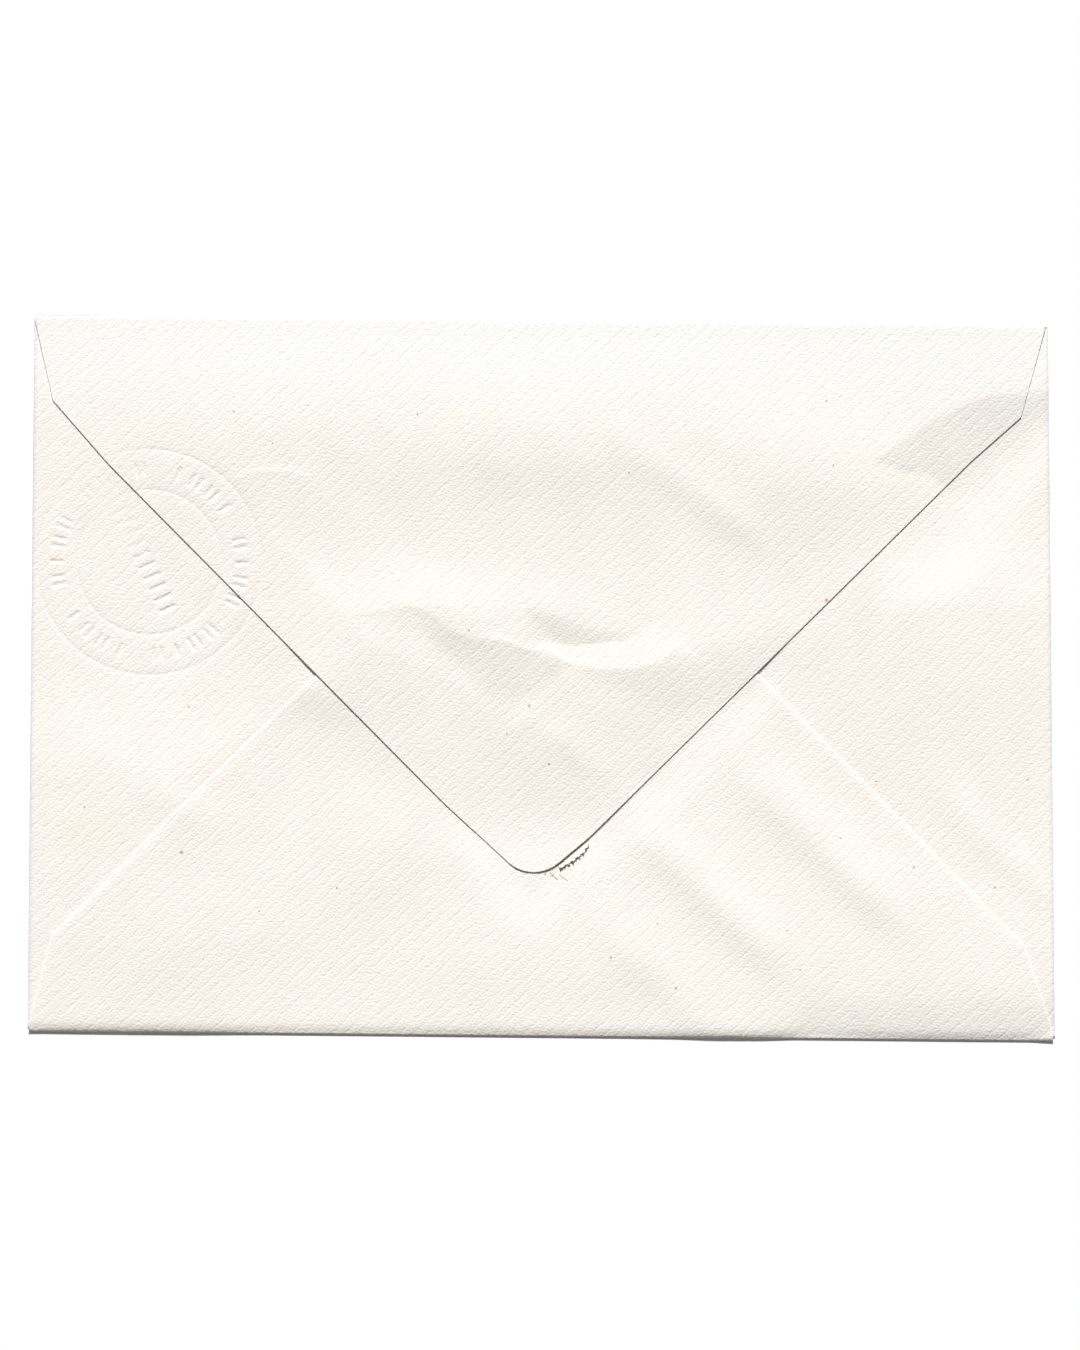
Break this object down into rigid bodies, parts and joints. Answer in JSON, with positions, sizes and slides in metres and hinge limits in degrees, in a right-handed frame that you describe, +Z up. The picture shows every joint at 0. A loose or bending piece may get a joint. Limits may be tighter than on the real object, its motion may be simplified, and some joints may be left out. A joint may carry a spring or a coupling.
{
  "type": "paper envelope",
  "caption": "Closed letter envelope folded from a sheet of ribbed white paper, with pointed side, bottom and closing flaps, a small rounded tip and a blind pressed round seal.",
  "frame": {"origin": "on the table under the address side, in the middle of the envelope's footprint", "axes": "+X along the long side, +Y towards the fold of the closing flap, +Z up through the flaps"},
  "size_m": [0.1632, 0.114, 0.0017],
  "materials": {
    "paper": "matte"
  },
  "bodies": {
    "root": {"envelope": "paper"}
  },
  "joints": []
}
